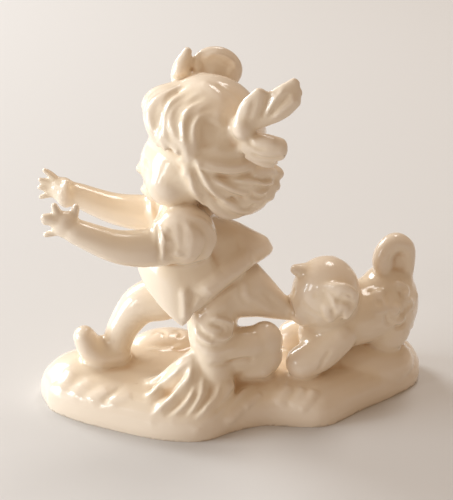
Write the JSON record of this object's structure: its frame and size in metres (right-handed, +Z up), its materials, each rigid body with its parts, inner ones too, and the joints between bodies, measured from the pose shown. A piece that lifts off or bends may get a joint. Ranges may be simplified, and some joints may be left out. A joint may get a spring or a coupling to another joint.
{
  "type": "girl figurine",
  "caption": "Glazed ceramic figurine of a running girl with ribboned hair and outstretched arms, her petticoat tugged by a puppy, on a grassy mound with a flat foot.",
  "frame": {"origin": "in the flat foot, below the middle of the mound", "axes": "+Z up, the girl runs towards -X, +X towards the puppy, -Y the side seen in the picture"},
  "size_m": [0.1492, 0.0602, 0.1333],
  "materials": {
    "cream_glaze": "thick glossy cream glaze over cast earthenware, warmer where it pools in hollows"
  },
  "bodies": {
    "root": {"figurine": "cream_glaze"}
  },
  "joints": []
}
